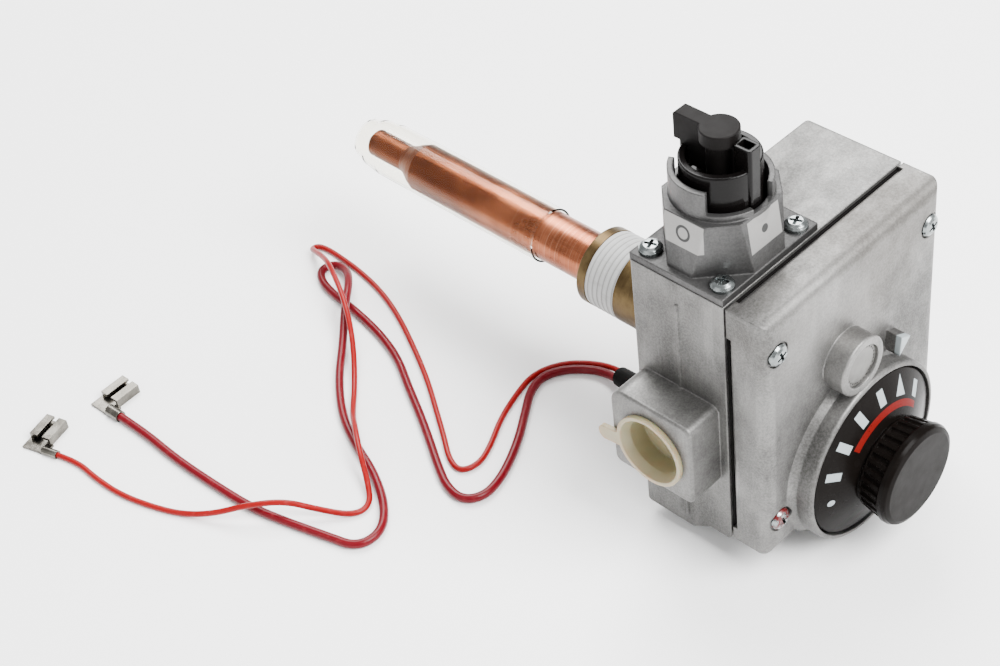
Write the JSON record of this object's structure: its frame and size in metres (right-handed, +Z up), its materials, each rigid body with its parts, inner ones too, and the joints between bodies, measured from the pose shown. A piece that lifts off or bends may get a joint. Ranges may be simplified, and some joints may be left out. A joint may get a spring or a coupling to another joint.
{
  "type": "gas control valve",
  "caption": "Combination gas control for a storage water heater, with gas cock, reset button, temperature dial, immersion probe and thermocouple leads.",
  "frame": {"origin": "on the shank's axis, in the plane of the casting's back face", "axes": "+Y along the immersion probe, away from the dial; +Z up, towards the gas cock's knob; -X towards the gas inlet"},
  "size_m": [0.1926, 0.2591, 0.1446],
  "materials": {
    "cast_aluminium": "cast, matt grey",
    "brass": "machined brass",
    "copper_tube": "drawn copper",
    "copper_wire": "enamelled copper wire",
    "gloss_black_plastic": "moulded, glossy black",
    "matt_dark_plastic": "moulded, matt charcoal",
    "cream_plastic": "moulded, cream",
    "clear_plastic": "clear vinyl",
    "plated_steel": "zinc plated",
    "spring_steel": "drawn wire",
    "aluminium_disc": "turned",
    "tinned_metal": "tinned",
    "rubber": "matt black",
    "gasket_fibre": "pressed fibre",
    "ptfe_tape": "thin white tape",
    "red_insulation": "red insulation"
  },
  "bodies": {
    "valve_body": {"main_body": "cast_aluminium", "cover_gasket": "gasket_fibre", "front_cover": "cast_aluminium", "cover_screws": "plated_steel", "collar_screws": "plated_steel", "knob_collar": "cast_aluminium", "gas_cock_spring": "spring_steel", "magnet_case": "aluminium_disc", "magnet_core": "plated_steel", "magnet_coil": "copper_wire", "safety_spring": "spring_steel", "inlet_screen": "plated_steel", "main_valve_spring": "spring_steel", "snap_disc": "spring_steel", "lever_bracket": "plated_steel", "lever_pin": "plated_steel", "regulator_cap": "aluminium_disc", "regulator_screw": "matt_dark_plastic", "regulator_spring": "spring_steel", "regulator_diaphragm": "rubber", "shank": "brass", "thread_tape": "ptfe_tape", "probe_tube": "copper_tube", "thermostat_rod": "plated_steel", "lead_boot": "rubber", "thick_lead": "red_insulation", "thin_lead": "red_insulation", "thick_lead_terminal": "tinned_metal", "thin_lead_terminal": "tinned_metal"},
    "gas_cock": {"gas_cock_rotor": "brass", "stem_seal": "rubber", "gas_cock_knob": "gloss_black_plastic", "reset_spring": "spring_steel"},
    "reset_button": {"reset_button": "matt_dark_plastic"},
    "safety_valve": {"safety_valve_disc": "aluminium_disc", "safety_seal": "rubber", "safety_armature": "plated_steel"},
    "temperature_dial": {"temperature_dial": "matt_dark_plastic", "dial_adjuster": "brass", "dial_seal": "rubber"},
    "thermostat_lever": {"thermostat_lever": "plated_steel"},
    "main_valve": {"main_valve": "aluminium_disc", "main_valve_seal": "rubber"},
    "regulator_valve": {"regulator_valve": "aluminium_disc"},
    "probe_cap": {"probe_cap": "clear_plastic"},
    "inlet_plug": {"inlet_plug": "cream_plastic"}
  },
  "joints": [
    {"name": "gas_cock_turn", "type": "hinge", "parent": "valve_body", "child": "gas_cock", "pos_m": [-0.0192, -0.017, 0.0883], "axis": [0, 0, 1], "range_deg": [-90, 90]},
    {"name": "reset_press", "type": "slide", "parent": "gas_cock", "child": "reset_button", "axis": [0, 0, 1], "range_m": [-0.0035, 0], "stiffness_N_per_m": 400, "springref_m": 0.004, "deforming": ["reset_spring"]},
    {"name": "safety_valve_lift", "type": "slide", "parent": "valve_body", "child": "safety_valve", "axis": [0, 0, 1], "range_m": [-0.0035, 0], "stiffness_N_per_m": 200, "springref_m": 0.004, "deforming": ["safety_spring"]},
    {"name": "temperature_turn", "type": "hinge", "parent": "valve_body", "child": "temperature_dial", "pos_m": [0, -0.0485, -0.0175], "axis": [0, 1, 0], "range_deg": [-75, 125]},
    {"name": "lever_tilt", "type": "hinge", "parent": "valve_body", "child": "thermostat_lever", "pos_m": [0, -0.0292, -0.0075], "axis": [1, 0, 0], "range_deg": [-1.6, 2.6]},
    {"name": "main_valve_lift", "type": "slide", "parent": "valve_body", "child": "main_valve", "axis": [0, -1, 0], "range_m": [0, 0.0012], "stiffness_N_per_m": 400, "springref_m": -0.003},
    {"name": "regulator_lift", "type": "slide", "parent": "valve_body", "child": "regulator_valve", "axis": [0, -1, 0], "range_m": [0, 0.001], "stiffness_N_per_m": 300, "springref_m": -0.003},
    {"name": "cap_pull", "type": "slide", "parent": "valve_body", "child": "probe_cap", "axis": [0, 1, 0], "range_m": [0, 0.09]},
    {"name": "plug_pull", "type": "slide", "parent": "valve_body", "child": "inlet_plug", "axis": [-1, 0, 0], "range_m": [0, 0.03]}
  ],
  "couplings": [
    {"joint": "safety_valve_lift", "follows": "reset_press", "ratio": 1},
    {"joint": "lever_tilt", "follows": "temperature_turn", "ratio": 0.02}
  ]
}
